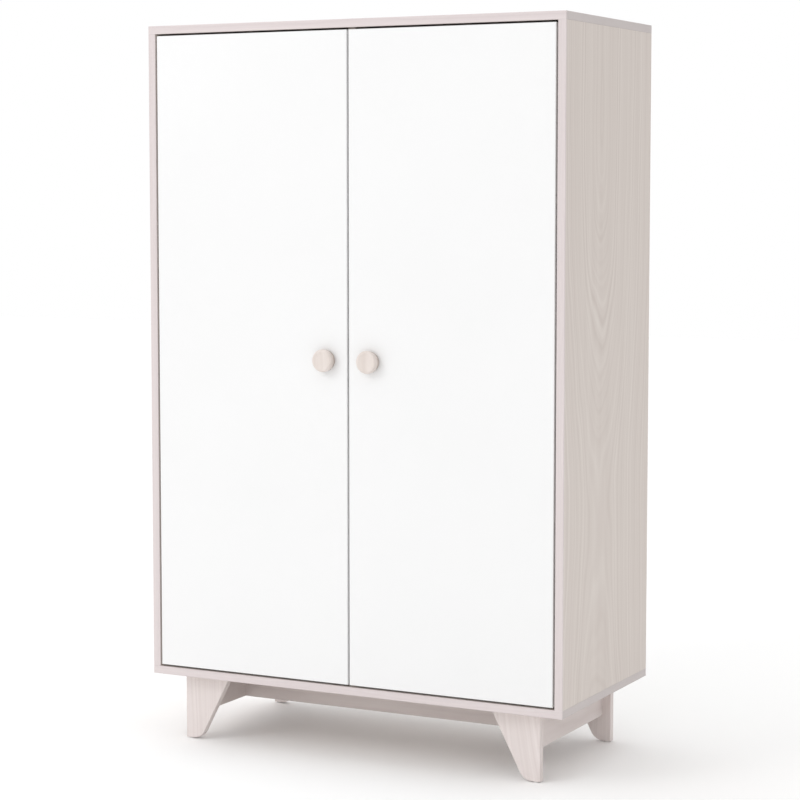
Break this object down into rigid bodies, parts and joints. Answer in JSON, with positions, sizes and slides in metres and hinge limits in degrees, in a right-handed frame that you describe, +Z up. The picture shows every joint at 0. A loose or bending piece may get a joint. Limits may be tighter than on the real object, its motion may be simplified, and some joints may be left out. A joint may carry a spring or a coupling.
{
  "type": "two-door wardrobe",
  "caption": "Low wardrobe with inset white doors, disc knobs, pale ash carcass and a board leg frame; hanging space and shelves inside.",
  "frame": {"origin": "on the floor, at the centre of the footprint with the knobs included", "axes": "+Z up, +X to the right seen from the front, the doors face -Y"},
  "size_m": [0.9, 0.451, 1.436],
  "materials": {
    "ash_board": "pale grey-beige ash laminate on board, fine vertical grain, satin",
    "ash_edging": "plastic edge banding printed as the same pale ash, satin",
    "back_board": "thin fibreboard, white lacquered inside, satin",
    "white_door": "white laminate on board, satin",
    "knob_wood": "turned wood, pale ash finish",
    "dowel_wood": "plain beech",
    "clear_rubber": "soft translucent rubber",
    "glide_plastic": "hard white plastic",
    "chromed_tube": "bright chromed steel",
    "nickel_steel": "nickel-plated pressed steel",
    "zinc_steel": "bright zinc-plated steel"
  },
  "bodies": {
    "cabinet": {"back_nails": "zinc_steel", "back_panel": "back_board", "board_dowels": "dowel_wood", "bottom_panel": "ash_board", "cam_bolts": "zinc_steel", "cam_locks": "zinc_steel", "centre_divider": "ash_board", "cross_rail": "ash_board", "door_bumpers": "clear_rubber", "floor_glides": "glide_plastic", "front_edge_bands": "ash_edging", "front_left_leg": "ash_board", "front_right_leg": "ash_board", "hanging_rail": "chromed_tube", "hat_shelf": "ash_board", "hinge_arm_screws": "zinc_steel", "hinge_plate_screws": "zinc_steel", "left_bottom_hinge_arm": "nickel_steel", "left_hinge_plates": "nickel_steel", "left_leg_rail": "ash_board", "left_middle_hinge_arm": "nickel_steel", "left_side_panel": "ash_board", "left_top_hinge_arm": "nickel_steel", "leg_frame_dowels": "dowel_wood", "leg_frame_screws": "zinc_steel", "lower_shelf": "ash_board", "middle_shelf": "ash_board", "rail_socket_screws": "zinc_steel", "rail_sockets": "chromed_tube", "rear_left_leg": "ash_board", "rear_right_leg": "ash_board", "right_bottom_hinge_arm": "nickel_steel", "right_hinge_plates": "nickel_steel", "right_leg_rail": "ash_board", "right_middle_hinge_arm": "nickel_steel", "right_side_panel": "ash_board", "right_top_hinge_arm": "nickel_steel", "shelf_pins": "zinc_steel", "top_panel": "ash_board", "upper_shelf": "ash_board", "wall_bracket_screws": "zinc_steel", "wall_brackets": "zinc_steel"},
    "left_door": {"left_bottom_hinge_cup": "nickel_steel", "left_door": "white_door", "left_hinge_cup_screws": "zinc_steel", "left_hinge_pins": "nickel_steel", "left_knob": "knob_wood", "left_knob_screw": "zinc_steel", "left_middle_hinge_cup": "nickel_steel", "left_top_hinge_cup": "nickel_steel"},
    "right_door": {"right_bottom_hinge_cup": "nickel_steel", "right_door": "white_door", "right_hinge_cup_screws": "zinc_steel", "right_hinge_pins": "nickel_steel", "right_knob": "knob_wood", "right_knob_screw": "zinc_steel", "right_middle_hinge_cup": "nickel_steel", "right_top_hinge_cup": "nickel_steel"}
  },
  "joints": [
    {"name": "left_door_hinge", "type": "hinge", "parent": "cabinet", "child": "left_door", "pos_m": [-0.418, -0.198, 0.785], "axis": [0, 0, -1], "range_deg": [0, 105]},
    {"name": "right_door_hinge", "type": "hinge", "parent": "cabinet", "child": "right_door", "pos_m": [0.418, -0.198, 0.785], "axis": [0, 0, 1], "range_deg": [0, 105]}
  ]
}
